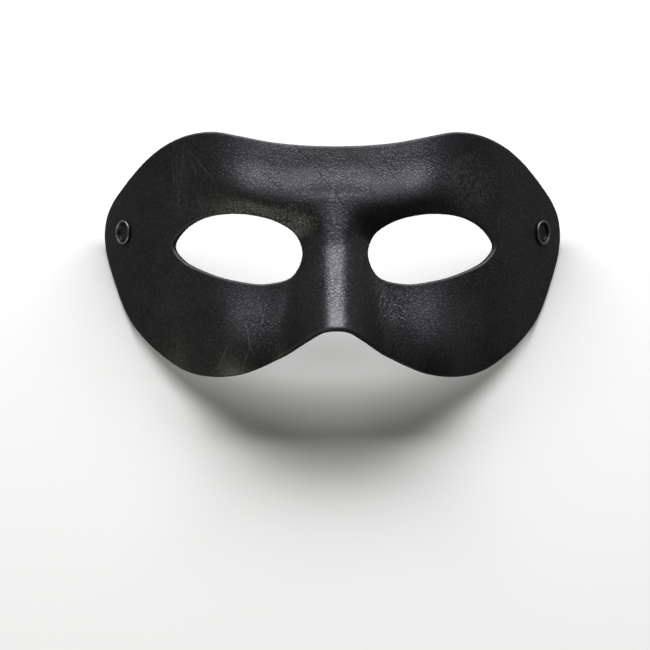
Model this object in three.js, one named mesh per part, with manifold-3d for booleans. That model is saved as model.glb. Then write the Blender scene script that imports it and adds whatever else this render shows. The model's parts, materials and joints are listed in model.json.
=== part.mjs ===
// Masquerade eye mask: one moulded leather shell with a brow ridge, a nose bridge and cheeks,
// and a rolled metal eyelet at each temple for a tie.
//
// Lengths are in millimetres. The shell is worked out in the wearer's frame: X runs from temple
// to temple, Y up to the brow and Z out of the face. A point on it is named by two lengths that
// lie in the flat leather: side, from the middle line round the face, and up, from the eye line.
// The finished mask is then leant back as it rests on a table, on the edges of its temples.

import * as THREE from 'three';
import { mergeVertices } from 'three/addons/utils/BufferGeometryUtils.js';
import Module from 'manifold-3d';

const wasm = await Module();
wasm.setup();

// Outline of the mask, measured in the leather
const HALF_SPAN = 109;
const BROW_RISE = 43.4;
const BROW_DIP = 5.8;
const CHEEK_DROP = 47.5;
const ARCH_RISE = 18;

// Shell
const FACE_RADIUS = 98;
const WALL = 2.2;
const EDGE_ROUNDING = 0.7;

// Eye openings
const EYE_INNER = 11.6;
const EYE_LENGTH = 53.3;
const EYE_RISE = 12.5;
const EYE_DROP = 13;

// Brow: its crest near the middle, how much higher it stands on the bridge and where it ends outwards,
// and its drop to the eyes
const BROW_HEIGHT = 5;
const BROW_CREST_UP = 12.2;
const BROW_CREST_PEAK = 4.5;
const BROW_CREST_SWEEP = 11.1;
const BROW_SWEEP_REACH = 54.5;
const BROW_LOWER_SLOPE = 13;
const BROW_FADE_START = 26;
const BROW_FADE_LENGTH = 30;

// Forehead above the crest: a low step, then a lean towards the face as a share of its length
const FOREHEAD_STEP = 1.5;
const FOREHEAD_STEP_LENGTH = 15;
const FOREHEAD_LEAN = 0.3;
const FOREHEAD_CURVE = 8;

// Neck of the nose, between the brows
const NECK_UP = 20;
const NECK_LEAN = 0.31;
const NECK_CURVE = 1.5;
const NECK_HALF_WIDTH = 24;

// Nose bridge: where it starts, how it projects down to the arch, how wide it is, and the power by
// which its flanks run out softly
const NOSE_ROOT_UP = 2;
const NOSE_PROJECTION = 9.5;
const NOSE_CURVE = 6;
const NOSE_ROOT_HALF_WIDTH = 19.5;
const NOSE_FOOT_HALF_WIDTH = 25;
const NOSE_SOFTNESS = 1.5;

// Cheeks: a swelling under each eye, and the lean of the lower edge towards the face
const CHEEK_HEIGHT = 7.5;
const CHEEK_SIDE = 33;
const CHEEK_UP = -42;
const CHEEK_HALF_WIDTH = 29;
const CHEEK_HALF_HEIGHT = 40;
const CHEEK_LEAN = 1.2;
const CHEEK_LEAN_START = -30;

// Eyelets: rolled front ring, barrel through the leather, flat collar behind it
const EYELET_FROM_END = 16.3;
const EYELET_UP = 7;
const BORE_RADIUS = 2.75;
const BARREL_WALL = 0.5;
const RING_RADIUS = 4.7;
const RING_HEIGHT = 0.7;
const COLLAR_RADIUS = 4.4;
const COLLAR_THICKNESS = 0.6;
const CLEARANCE = 0.3;
const DRILL_LENGTH = 10;

// Fineness of the facets
const ROW_STEPS = 2;
const MIDDLE_STEPS = 18;
const RING_STEPS = 11;
const EYE_SAMPLES = 480;
const EYELET_SIDES = 20;
const NORMAL_REACH = 2;
const WELD_REACH = 1e-4;

// Range in which the resting lean is looked for, in radians
const MIN_LEAN = 0.1;
const MAX_LEAN = 1.4;
const LEAN_STEPS = 40;

// Outline from the middle of the brow round one side to the middle of the nose arch.
// side: share of HALF_SPAN. up: share of BROW_RISE above the eye line, of CHEEK_DROP below it.
// notch: share of BROW_DIP above the eye line, of ARCH_RISE below it, by which the edge steps back.
const OUTLINE = [
  { side: 0.000, up: 1.000, notch: 1.00 },
  { side: 0.110, up: 1.000, notch: 0.93 },
  { side: 0.220, up: 1.000, notch: 0.71 },
  { side: 0.330, up: 1.000, notch: 0.31 },
  { side: 0.431, up: 1.000, notch: 0.00 },
  { side: 0.532, up: 0.979, notch: 0.00 },
  { side: 0.633, up: 0.901, notch: 0.00 },
  { side: 0.720, up: 0.790, notch: 0.00 },
  { side: 0.796, up: 0.667, notch: 0.00 },
  { side: 0.870, up: 0.540, notch: 0.00 },
  { side: 0.934, up: 0.425, notch: 0.00 },
  { side: 0.982, up: 0.295, notch: 0.00 },
  { side: 1.000, up: 0.145, notch: 0.00 },
  { side: 0.985, up: -0.011, notch: 0.00 },
  { side: 0.948, up: -0.154, notch: 0.00 },
  { side: 0.908, up: -0.288, notch: 0.00 },
  { side: 0.867, up: -0.425, notch: 0.00 },
  { side: 0.812, up: -0.568, notch: 0.00 },
  { side: 0.739, up: -0.703, notch: 0.00 },
  { side: 0.658, up: -0.827, notch: 0.00 },
  { side: 0.546, up: -0.958, notch: 0.00 },
  { side: 0.417, up: -1.000, notch: 0.00 },
  { side: 0.303, up: -1.000, notch: 0.055 },
  { side: 0.220, up: -1.000, notch: 0.25 },
  { side: 0.142, up: -1.000, notch: 0.55 },
  { side: 0.086, up: -1.000, notch: 0.77 },
  { side: 0.041, up: -1.000, notch: 0.95 },
  { side: 0.000, up: -1.000, notch: 1.00 },
];

// Eye opening, from its inner corner over the top and back below.
// along: share of EYE_LENGTH from the inner corner. up: share of EYE_RISE or, below, of EYE_DROP.
const EYE_EDGE = [
  { along: 0.01, up: -0.20 },
  { along: 0.055, up: 0.36 },
  { along: 0.18, up: 0.74 },
  { along: 0.36, up: 0.95 },
  { along: 0.56, up: 1.00 },
  { along: 0.76, up: 0.89 },
  { along: 0.92, up: 0.54 },
  { along: 1.00, up: 0.09 },
  { along: 0.92, up: -0.31 },
  { along: 0.71, up: -0.68 },
  { along: 0.45, up: -0.93 },
  { along: 0.255, up: -1.00 },
  { along: 0.08, up: -0.79 },
];

// Steps round the rim from the middle of the brow to the middle of the arch
const RIM_STEPS = ROW_STEPS * (OUTLINE.length - 1);

// Section through an edge of the shell, from its front face to its back face.
// inset and drop: shares of the edge rounding, and deep: share of the wall.
const EDGE_SECTION = [
  { inset: 1, drop: 0, deep: 0 },
  { inset: 0, drop: 1, deep: 0 },
  { inset: 0, drop: -1, deep: 1 },
  { inset: 1, drop: 0, deep: 1 },
];

// Most of the wall that the rounding of an edge may take
const ROUNDING_LIMIT = 0.4;

// Section of the rolled ring, from its outer foot over its crest and down its throat to the bore.
// out: share of the way from the bore to the ring's outer radius. up: share of the ring's height.
const RING_SECTION = [
  { out: 1.00, up: 0.00 },
  { out: 1.00, up: 0.45 },
  { out: 0.93, up: 0.86 },
  { out: 0.80, up: 1.00 },
  { out: 0.64, up: 0.86 },
  { out: 0.42, up: 0.42 },
  { out: 0.16, up: -0.05 },
  { out: 0.00, up: -0.55 },
];

// A smooth step from 0 to 1 as u goes from 0 to 1
function ease(u) {
  const t = THREE.MathUtils.clamp(u, 0, 1);
  return t * t * (3 - 2 * t);
}

// A smooth swelling, 1 at u = 0 and 0 from u = -1 and u = 1 outwards
function swelling(u) {
  return 0.5 + 0.5 * Math.cos(Math.PI * THREE.MathUtils.clamp(u, -1, 1));
}

// A rise that starts softly over a curve and then grows evenly with the length
function bend(length, curve) {
  return length * length / (length + curve);
}

// Share of the bridge's height across it, 1 on its ridge. It is narrowest at the nose's root.
function bridgeShare(side, up) {
  const down = ease((NOSE_ROOT_UP - up) / (NOSE_ROOT_UP + CHEEK_DROP - ARCH_RISE));
  const neck = ease((up - NOSE_ROOT_UP) / (NECK_UP - NOSE_ROOT_UP));
  const halfWidth = NOSE_ROOT_HALF_WIDTH + (NOSE_FOOT_HALF_WIDTH - NOSE_ROOT_HALF_WIDTH) * down
    + (NECK_HALF_WIDTH - NOSE_ROOT_HALF_WIDTH) * neck;
  return swelling(side / halfWidth) ** NOSE_SOFTNESS;
}

// Height of the brow, whose crest rises outwards and at the bridge, with the forehead leaning back
// above it. Below the crest it drops to the eyes, except where the bridge leaves it.
function browRelief(side, up, bridge) {
  const sweep = BROW_CREST_SWEEP * Math.min(side / BROW_SWEEP_REACH, 1);
  const past = up - BROW_CREST_UP - BROW_CREST_PEAK * bridge - sweep;
  const above = Math.max(0, past);
  const step = FOREHEAD_STEP * (1 - swelling(above / FOREHEAD_STEP_LENGTH));
  const lean = FOREHEAD_LEAN * bend(above, FOREHEAD_CURVE);
  const drop = BROW_HEIGHT * (1 - swelling(Math.min(0, past) / BROW_LOWER_SLOPE)) * (1 - bridge);
  const fade = 1 - ease((side - BROW_FADE_START) / BROW_FADE_LENGTH);
  return fade * (BROW_HEIGHT - drop - step - lean);
}

// Height of the nose's ridge, which leans out from between the brows and more from its root down
function noseRidge(up) {
  const neck = NECK_LEAN * bend(Math.max(0, NECK_UP - up), NECK_CURVE);
  const full = NOSE_ROOT_UP + CHEEK_DROP - ARCH_RISE;
  const down = Math.max(0, NOSE_ROOT_UP - up);
  return neck + NOSE_PROJECTION * bend(down, NOSE_CURVE) / bend(full, NOSE_CURVE);
}

// Swelling of the cheek, with the lean of the lower edge towards the face
function cheekRelief(side, up) {
  const across = swelling((side - CHEEK_SIDE) / CHEEK_HALF_WIDTH);
  const down = swelling((up - CHEEK_UP) / CHEEK_HALF_HEIGHT);
  const below = Math.max(0, CHEEK_LEAN_START - up) / (CHEEK_LEAN_START + CHEEK_DROP);
  return CHEEK_HEIGHT * across * down - CHEEK_LEAN * below * below;
}

// Height of all the relief over the round wrap
function relief(side, up) {
  const bridge = bridgeShare(side, up);
  return browRelief(side, up, bridge) + noseRidge(up) * bridge + cheekRelief(side, up);
}

// Point of the front face: a round wrap about the head, plus the relief along its radius
function frontPoint(side, up) {
  const angle = side / FACE_RADIUS;
  const radius = FACE_RADIUS + relief(Math.abs(side), up);
  return new THREE.Vector3(radius * Math.sin(angle), up, radius * Math.cos(angle) - FACE_RADIUS);
}

// Direction out of the front face, averaged over a short reach
function frontNormal(side, up) {
  const across = frontPoint(side + NORMAL_REACH, up).sub(frontPoint(side - NORMAL_REACH, up));
  const along = frontPoint(side, up + NORMAL_REACH).sub(frontPoint(side, up - NORMAL_REACH));
  return across.cross(along).normalize();
}

// Point of the shell at a depth below its front face
function shellPoint(side, up, depth) {
  return frontPoint(side, up).addScaledVector(frontNormal(side, up), -depth);
}

// Closed smooth curve through points of the flat leather
function smoothLoop(points) {
  return new THREE.CatmullRomCurve3(points, true, 'centripetal');
}

// Rim from the middle of the brow round one side to the middle of the arch
function rimPoints() {
  const half = OUTLINE.map((row) => {
    const edge = row.up > 0
      ? row.up * BROW_RISE - row.notch * BROW_DIP
      : row.up * CHEEK_DROP + row.notch * ARCH_RISE;
    return new THREE.Vector3(row.side * HALF_SPAN, edge, 0);
  });
  const mirrored = half.slice(1, -1).reverse().map((point) => new THREE.Vector3(-point.x, point.y, 0));
  const loop = smoothLoop(half.concat(mirrored));
  const points = loop.getPoints(ROW_STEPS * 2 * (OUTLINE.length - 1)).slice(0, RIM_STEPS + 1);
  points[0].x = 0;
  points[RIM_STEPS].x = 0;
  return points;
}

// Unit normals out of a loop of points that runs clockwise
function loopNormals(points, closed) {
  const last = points.length - 1;
  return points.map((point, i) => {
    const before = points[i === 0 ? (closed ? last : 0) : i - 1];
    const after = points[i === last ? (closed ? 0 : last) : i + 1];
    return new THREE.Vector3(-(after.y - before.y), after.x - before.x, 0).normalize();
  });
}

// Eye edge point on each ray that leaves the middle of the eye towards an outer point
function eyePoints(outer) {
  const centre = new THREE.Vector3(EYE_INNER + EYE_LENGTH / 2, 0, 0);
  const corners = EYE_EDGE.map((row) => new THREE.Vector3(
    EYE_INNER + row.along * EYE_LENGTH, row.up * (row.up > 0 ? EYE_RISE : EYE_DROP), 0));
  const samples = smoothLoop(corners).getSpacedPoints(EYE_SAMPLES);
  const angleOf = (point) => Math.atan2(point.y - centre.y, point.x - centre.x);
  const turn = (angle, target) => Math.abs(Math.atan2(Math.sin(angle - target), Math.cos(angle - target)));
  return outer.map((point) => {
    const target = angleOf(point);
    const ranked = samples.slice(1).sort((a, b) => turn(angleOf(a), target) - turn(angleOf(b), target));
    const [near, next] = ranked;
    const share = turn(angleOf(near), target) / (turn(angleOf(near), target) + turn(angleOf(next), target));
    return near.clone().lerp(next, share);
  });
}

// Triangles between two rows of vertex numbers, open or closed on itself. Each four-sided facet
// is split along its shorter diagonal.
function strip(vertices, triangles, first, second, closed) {
  const count = first.length;
  const apart = (a, b) => vertices[a].distanceTo(vertices[b]);
  for (let i = 0; i < (closed ? count : count - 1); i += 1) {
    const j = (i + 1) % count;
    if (apart(first[i], second[j]) < apart(first[j], second[i])) {
      triangles.push(first[i], second[j], second[i], first[i], first[j], second[j]);
    } else {
      triangles.push(first[i], first[j], second[i], first[j], second[j], second[i]);
    }
  }
}

// One half of the shell as vertices and triangles. Rings of points run round the eye, from its
// edge out to a loop made of the rim and the middle line. The front and back grids are joined by
// the sections of the rim and of the eye edge.
function shellHalf() {
  const rounding = Math.min(EDGE_ROUNDING, ROUNDING_LIMIT * WALL);
  const rim = rimPoints();
  const rimNormals = loopNormals(rim, false);
  rimNormals[0].set(0, 1, 0);
  rimNormals[RIM_STEPS].set(0, -1, 0);
  const low = rim[RIM_STEPS].y + rounding;
  const high = rim[0].y - rounding;
  const middle = Array.from({ length: MIDDLE_STEPS - 1 }, (_, i) =>
    new THREE.Vector3(0, THREE.MathUtils.lerp(low, high, (i + 1) / MIDDLE_STEPS), 0));
  const inside = rim.map((point, i) => point.clone().addScaledVector(rimNormals[i], -rounding));
  const outer = inside.concat(middle);
  const eye = eyePoints(outer);
  const eyeNormals = loopNormals(eye, true);

  const vertices = [];
  const triangles = [];
  const place = (point, depth) => {
    vertices.push(shellPoint(point.x, point.y, depth));
    return vertices.length - 1;
  };
  const section = (points, normals, outward) => EDGE_SECTION.map((row) => points.map((point, i) => place(
    point.clone().addScaledVector(normals[i], outward * row.inset * rounding),
    row.deep * WALL + row.drop * rounding)));

  const rimSection = section(rim, rimNormals, -1);
  const eyeSection = section(eye, eyeNormals, 1);
  const eyeInset = eye.map((point, i) => point.clone().addScaledVector(eyeNormals[i], rounding));
  const lastRow = EDGE_SECTION.length - 1;
  [0, WALL].forEach((depth) => {
    const face = depth === 0 ? 0 : lastRow;
    let previous = eyeSection[face];
    for (let ring = 1; ring <= RING_STEPS; ring += 1) {
      const share = ring / RING_STEPS;
      const onRim = ring === RING_STEPS;
      const current = outer.map((point, i) => (onRim && i <= RIM_STEPS
        ? rimSection[face][i]
        : place(eyeInset[i].clone().lerp(point, share), depth)));
      if (depth === 0) {
        strip(vertices, triangles, previous, current, true);
      } else {
        strip(vertices, triangles, current, previous, true);
      }
      previous = current;
    }
  });
  for (let row = 0; row < lastRow; row += 1) {
    strip(vertices, triangles, rimSection[row], rimSection[row + 1], false);
    strip(vertices, triangles, eyeSection[row + 1], eyeSection[row], true);
  }
  return { vertices, triangles };
}

// Whole shell: the half and its mirror image, joined along the middle line
function shellGeometry() {
  const { vertices, triangles } = shellHalf();
  const positions = [];
  const index = [];
  [1, -1].forEach((hand) => {
    const start = positions.length / 3;
    vertices.forEach((point) => positions.push(hand * point.x, point.y, point.z));
    for (let i = 0; i < triangles.length; i += 3) {
      const [a, b, c] = triangles.slice(i, i + 3).map((vertex) => start + vertex);
      index.push(a, hand > 0 ? b : c, hand > 0 ? c : b);
    }
  });
  const geometry = new THREE.BufferGeometry();
  geometry.setAttribute('position', new THREE.Float32BufferAttribute(positions, 3));
  geometry.setIndex(index);
  return mergeVertices(geometry, WELD_REACH);
}

// Solid for joining and cutting, from a closed geometry
function toSolid(geometry) {
  const bare = geometry.clone();
  bare.deleteAttribute('normal');
  bare.deleteAttribute('uv');
  const merged = mergeVertices(bare, WELD_REACH);
  return new wasm.Manifold(new wasm.Mesh({
    numProp: 3,
    vertProperties: new Float32Array(merged.attributes.position.array),
    triVerts: new Uint32Array(merged.index.array),
  }));
}

// Geometry of a solid
function toGeometry(solid) {
  const mesh = solid.getMesh();
  const geometry = new THREE.BufferGeometry();
  geometry.setAttribute('position', new THREE.Float32BufferAttribute(mesh.vertProperties, 3));
  geometry.setIndex(Array.from(mesh.triVerts));
  return geometry;
}

// Place and turn of an eyelet, its own Y axis pointing out of the leather
function eyeletPlace(hand) {
  const side = hand * (HALF_SPAN - EYELET_FROM_END);
  const normal = frontNormal(side, EYELET_UP);
  const turn = new THREE.Quaternion().setFromUnitVectors(new THREE.Vector3(0, 1, 0), normal);
  return new THREE.Matrix4().compose(frontPoint(side, EYELET_UP), turn, new THREE.Vector3(1, 1, 1));
}

// Shell with the hole for each eyelet's barrel
function shellWithHoles() {
  const holeRadius = BORE_RADIUS + BARREL_WALL + CLEARANCE;
  const drill = new THREE.CylinderGeometry(holeRadius, holeRadius, DRILL_LENGTH, EYELET_SIDES);
  const shell = [1, -1].reduce(
    (solid, hand) => solid.subtract(toSolid(drill.clone().applyMatrix4(eyeletPlace(hand)))),
    toSolid(shellGeometry()));
  return toGeometry(shell);
}

// Eyelet turned about its Y axis, with the front of the leather at Y = 0
function eyeletGeometry() {
  const barrel = BORE_RADIUS + BARREL_WALL;
  const collarFront = -WALL - CLEARANCE;
  const collarBack = collarFront - COLLAR_THICKNESS;
  const ring = RING_SECTION.map((row) => [
    BORE_RADIUS + row.out * (RING_RADIUS - BORE_RADIUS), CLEARANCE + row.up * RING_HEIGHT]);
  const profile = [
    [BORE_RADIUS, collarBack],
    [COLLAR_RADIUS, collarBack],
    [COLLAR_RADIUS, collarFront],
    [barrel, collarFront],
    [barrel, CLEARANCE],
    ...ring,
    [BORE_RADIUS, collarBack],
  ];
  const corners = profile.map(([radius, height]) => new THREE.Vector2(radius, height));
  return new THREE.LatheGeometry(corners, EYELET_SIDES);
}

// Centre of mass of a closed geometry, from the tetrahedra between its faces and the origin
function centreOfMass(geometry) {
  const position = geometry.attributes.position;
  const index = geometry.index;
  const corner = (i) => new THREE.Vector3().fromBufferAttribute(position, index.getX(i));
  const moment = new THREE.Vector3();
  let volume = 0;
  for (let i = 0; i < index.count; i += 3) {
    const [a, b, c] = [corner(i), corner(i + 1), corner(i + 2)];
    const part = a.dot(b.clone().cross(c)) / 6;
    volume += part;
    moment.addScaledVector(a.add(b).add(c), part / 4);
  }
  return moment.divideScalar(volume);
}

// Angle by which the mask leans back on its temple edges, found by halving the range until its
// centre of mass stands over the points that touch the table
function restingLean(geometry) {
  const position = geometry.attributes.position;
  const centre = centreOfMass(geometry);
  const touchesBehindCentre = (lean) => {
    let lowest = Infinity;
    let touching = 0;
    for (let i = 0; i < position.count; i += 1) {
      const height = position.getY(i) * Math.sin(lean) + position.getZ(i) * Math.cos(lean);
      if (height < lowest) {
        lowest = height;
        touching = position.getY(i) * Math.cos(lean) - position.getZ(i) * Math.sin(lean);
      }
    }
    return touching > centre.y * Math.cos(lean) - centre.z * Math.sin(lean);
  };
  let small = MIN_LEAN;
  let large = MAX_LEAN;
  for (let step = 0; step < LEAN_STEPS; step += 1) {
    const lean = (small + large) / 2;
    if (touchesBehindCentre(lean)) {
      small = lean;
    } else {
      large = lean;
    }
  }
  return small;
}

const leather = new THREE.MeshStandardMaterial({ color: 0x1b1b1c, roughness: 0.48, metalness: 0 });
const enamel = new THREE.MeshStandardMaterial({ color: 0x111112, roughness: 0.25, metalness: 0.6 });

const shell = new THREE.Mesh(shellWithHoles(), leather);
shell.name = 'mask_shell';

const eyelets = [['eyelet_left', -1], ['eyelet_right', 1]].map(([name, hand]) => {
  const eyelet = new THREE.Mesh(eyeletGeometry(), enamel);
  eyelet.name = name;
  eyeletPlace(hand).decompose(eyelet.position, eyelet.quaternion, eyelet.scale);
  return eyelet;
});

// The mask leant back on the table, with the origin under the middle of its box
const mask = new THREE.Group();
mask.add(shell, ...eyelets);
mask.rotation.x = restingLean(shell.geometry);

const group = new THREE.Group();
group.add(mask);
const box = new THREE.Box3().setFromObject(group, true);
const middle = box.getCenter(new THREE.Vector3());
mask.position.set(-middle.x, -middle.y, -box.min.z);

export default group;
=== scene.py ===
"""Masquerade mask: a moulded leather shell with a brow ridge and a nose bridge, and an eyelet at each temple.

The leather's surface is worked out in the wearer's frame, in metres: X from temple to temple, Y up to the
brow, Z out of the face. A point on it is named by two lengths in the flat leather: side, from the middle line
round the face, and up, from the eye line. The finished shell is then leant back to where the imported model
rests.
"""

import json
import logging
import math
from dataclasses import dataclass, field
from enum import Enum

import bpy
import numpy as np
from mathutils import Matrix, Vector


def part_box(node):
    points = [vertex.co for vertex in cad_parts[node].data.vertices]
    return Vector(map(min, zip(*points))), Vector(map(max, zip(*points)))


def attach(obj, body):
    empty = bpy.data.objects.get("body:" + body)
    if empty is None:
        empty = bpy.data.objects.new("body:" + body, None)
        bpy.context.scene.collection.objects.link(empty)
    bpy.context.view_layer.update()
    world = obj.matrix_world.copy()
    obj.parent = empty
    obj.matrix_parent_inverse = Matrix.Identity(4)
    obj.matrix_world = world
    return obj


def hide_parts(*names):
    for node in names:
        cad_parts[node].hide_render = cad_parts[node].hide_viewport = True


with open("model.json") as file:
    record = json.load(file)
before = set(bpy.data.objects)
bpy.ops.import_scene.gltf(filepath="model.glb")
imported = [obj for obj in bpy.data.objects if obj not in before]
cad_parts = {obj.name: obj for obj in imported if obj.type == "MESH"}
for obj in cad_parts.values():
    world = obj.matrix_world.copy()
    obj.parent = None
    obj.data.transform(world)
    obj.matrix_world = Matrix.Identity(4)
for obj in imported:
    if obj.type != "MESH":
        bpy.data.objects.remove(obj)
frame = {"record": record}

log = logging.getLogger("masquerade_mask")

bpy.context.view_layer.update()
BODY = "root"

# Names that the meshes' layers and the materials share
FLAT_LEATHER = "Flat leather"
WEAR = "Leather wear"
CREASES = ("First creases", "Second creases")
RUBBED = "Rubbed crest"

# Names of the shared node groups
PEBBLE_GROUP = "Leather pebble"
CREASE_GROUP = "Leather crease"

# Metres of flat leather that the whole UV square spans, metres in a millimetre, and the seam's weld distance
FLAT_UNIT = 0.24
MM = 0.001
SEAM_REACH = 1e-6

Array = np.ndarray
Socket = bpy.types.NodeSocket
Colour = tuple[float, float, float]


def ease(u: Array) -> Array:
    """A smooth step: three times u squared less twice u cubed, for u held between 0 and 1.

    Args:
        u: Shares of the step.

    Returns:
        Values from 0 to 1.
    """
    t = np.clip(u, 0.0, 1.0)
    return t * t * (3.0 - 2.0 * t)


def swelling(u: Array) -> Array:
    """A raised cosine, 1 at u = 0 and 0 from u = -1 and u = 1 outwards.

    Args:
        u: Shares of the swelling's half width.

    Returns:
        Values from 0 to 1.
    """
    return 0.5 + 0.5 * np.cos(np.pi * np.clip(u, -1.0, 1.0))


def smooth_loop(points: Array, steps: int) -> Array:
    """A closed centripetal Catmull-Rom curve: its knots are the square roots of the chords' lengths apart.

    Args:
        points: Corners of the loop, one row each.
        steps: Points per span.

    Returns:
        The curve's points, the first of them not repeated at the end.
    """
    before, start = np.roll(points, 1, axis=0), points
    end, after = np.roll(points, -1, axis=0), np.roll(points, -2, axis=0)
    chords = ((before, start), (start, end), (end, after))
    gaps = [np.linalg.norm(q - p, axis=1) ** 0.5 for p, q in chords]
    t1 = gaps[0]
    t2 = t1 + gaps[1]
    t3 = t2 + gaps[2]
    t = t1[:, None] + gaps[1][:, None] * (np.arange(steps) / steps)[None, :]

    def between(p: Array, q: Array, low: Array, high: Array) -> Array:
        """The point that divides p to q as t divides low to high."""
        share = (t - low[:, None]) / (high - low)[:, None]
        return p + (q - p) * share[..., None]

    zero = np.zeros_like(t1)
    a = between(before[:, None], start[:, None], zero, t1)
    b = between(start[:, None], end[:, None], t1, t2)
    c = between(end[:, None], after[:, None], t2, t3)
    return between(between(a, b, zero, t2), between(b, c, t1, t3), t1, t2).reshape(-1, points.shape[1])


def spaced(points: Array, count: int) -> Array:
    """Points at equal steps along an open run of points, found by interpolating over its length.

    Args:
        points: The run, one row each.
        count: Points wanted, both ends included.

    Returns:
        The spaced points.
    """
    length = np.concatenate([[0.0], np.cumsum(np.linalg.norm(np.diff(points, axis=0), axis=1))])
    wanted = np.linspace(0.0, length[-1], count)
    return np.stack([np.interp(wanted, length, points[:, k]) for k in range(points.shape[1])], axis=1)


@dataclass(frozen=True)
class BrowRidge:
    """The ridge over both eyes, with a forehead that leans back above it and a drop to the eyes below."""

    height: float = 0.0050
    crest_up: float = 0.0122
    crest_peak: float = 0.0045
    crest_sweep: float = 0.0111
    sweep_reach: float = 0.0545
    upper_step: float = 0.0015
    upper_slope: float = 0.0150
    forehead_lean: float = 0.3000
    forehead_curve: float = 0.0080
    lower_slope: float = 0.0130
    fade_start: float = 0.0260
    fade_length: float = 0.0300

    def relief(self, side: Array, up: Array, bridge: Array) -> Array:
        """Height of the ridge, which fades towards the temples.

        The crest rises outwards and over the bridge. Above it the height loses a raised cosine's step and a
        lean, which is a length squared over itself plus a curve. Below it the height goes to 0 in a raised
        cosine, except where the nose bridge leaves it.

        Args:
            side: Distances from the middle line.
            up: Distances above the eye line.
            bridge: Shares of the nose bridge's height, 1 on its top.

        Returns:
            Heights over the round wrap of the leather.
        """
        sweep = self.crest_sweep * np.minimum(side / self.sweep_reach, 1.0)
        past = up - self.crest_up - self.crest_peak * bridge - sweep
        above = np.maximum(0.0, past)
        step = self.upper_step * (1.0 - swelling(above / self.upper_slope))
        lean = self.forehead_lean * above ** 2 / (above + self.forehead_curve)
        lower = 1.0 - swelling(np.minimum(0.0, past) / self.lower_slope)
        fade = 1.0 - ease((side - self.fade_start) / self.fade_length)
        return fade * (self.height * (1.0 - lower * (1.0 - bridge)) - step - lean)


@dataclass(frozen=True)
class NoseBridge:
    """The bridge, a rounded ridge that leaves the brow and projects more and more down to the arch."""

    root_up: float = 0.0020
    projection: float = 0.0095
    curve: float = 0.0060
    neck_curve: float = 0.0030
    neck_up: float = 0.0210
    neck_slope: float = 0.3350
    neck_half_width: float = 0.0240
    root_half_width: float = 0.0195
    foot_half_width: float = 0.0250
    softness: float = 1.5

    def share(self, side: Array, up: Array, foot: float) -> Array:
        """Share of the bridge's height across it: a power of a raised cosine, narrowest at the root.

        Args:
            side: Distances from the middle line.
            up: Distances above the eye line.
            foot: Height of the arch's crown above the eye line, a negative length.

        Returns:
            Shares from 0 to 1.
        """
        down = ease((self.root_up - up) / (self.root_up - foot))
        neck = ease((up - self.root_up) / (self.neck_up - self.root_up))
        half = (
            self.root_half_width
            + (self.foot_half_width - self.root_half_width) * down
            + (self.neck_half_width - self.root_half_width) * neck
        )
        return swelling(side / half) ** self.softness

    def relief(self, up: Array, foot: float) -> Array:
        """Height of the ridge: a slope that starts at the neck and a projection that starts at the root.

        Each is a length squared over itself plus a curve, so it starts softly and then goes on evenly.

        Args:
            up: Distances above the eye line.
            foot: Height of the arch's crown above the eye line, a negative length.

        Returns:
            Heights over the round wrap of the leather.
        """
        full = self.root_up - foot
        down = np.maximum(0.0, self.root_up - up)
        below_neck = np.maximum(0.0, self.neck_up - up)
        even = self.neck_slope * below_neck ** 2 / (below_neck + self.neck_curve)
        return even + self.projection * (down ** 2 / (down + self.curve)) * (full + self.curve) / full ** 2


@dataclass(frozen=True)
class Cheek:
    """A swelling under each eye, and the lower edge that leans towards the face."""

    height: float = 0.0075
    side: float = 0.0330
    up: float = -0.0420
    half_width: float = 0.0290
    half_height: float = 0.0400
    lean: float = 0.0012
    lean_start: float = -0.0300

    def relief(self, side: Array, up: Array, drop: float) -> Array:
        """Height of the cheek, a product of two raised cosines, less the lean, the square of a share.

        The share is that of the way from the lean's start to the lower edge.

        Args:
            side: Distances from the middle line.
            up: Distances above the eye line.
            drop: Length of the mask below the eye line.

        Returns:
            Heights over the round wrap of the leather.
        """
        cheek = swelling((side - self.side) / self.half_width) * swelling((up - self.up) / self.half_height)
        below = np.maximum(0.0, self.lean_start - up) / (self.lean_start + drop)
        return self.height * cheek - self.lean * below ** 2


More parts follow.
